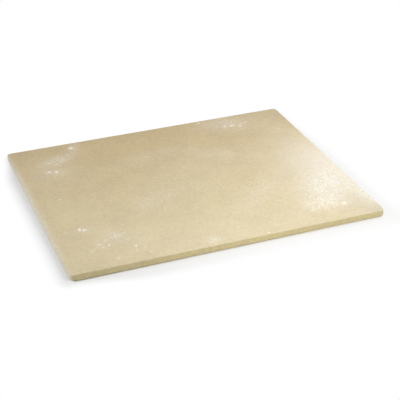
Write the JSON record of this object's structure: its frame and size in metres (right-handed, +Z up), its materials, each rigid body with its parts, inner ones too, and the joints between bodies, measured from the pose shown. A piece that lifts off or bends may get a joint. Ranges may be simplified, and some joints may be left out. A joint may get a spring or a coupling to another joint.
{
  "type": "pizza baking stone",
  "caption": "Flat rectangular fired-stone slab with rounded corners and softened edges, heated in an oven or on a grill so that pizza or bread bakes on its top face.",
  "frame": {"origin": "middle of the underside, on the surface that the stone rests on", "axes": "+X along the long side, +Y along the short side, +Z up through the thickness"},
  "size_m": [0.43, 0.35, 0.01],
  "materials": {
    "cordierite": "matte fired refractory, fine sandy grain, unglazed"
  },
  "bodies": {
    "root": {"baking_stone": "cordierite"}
  },
  "joints": []
}
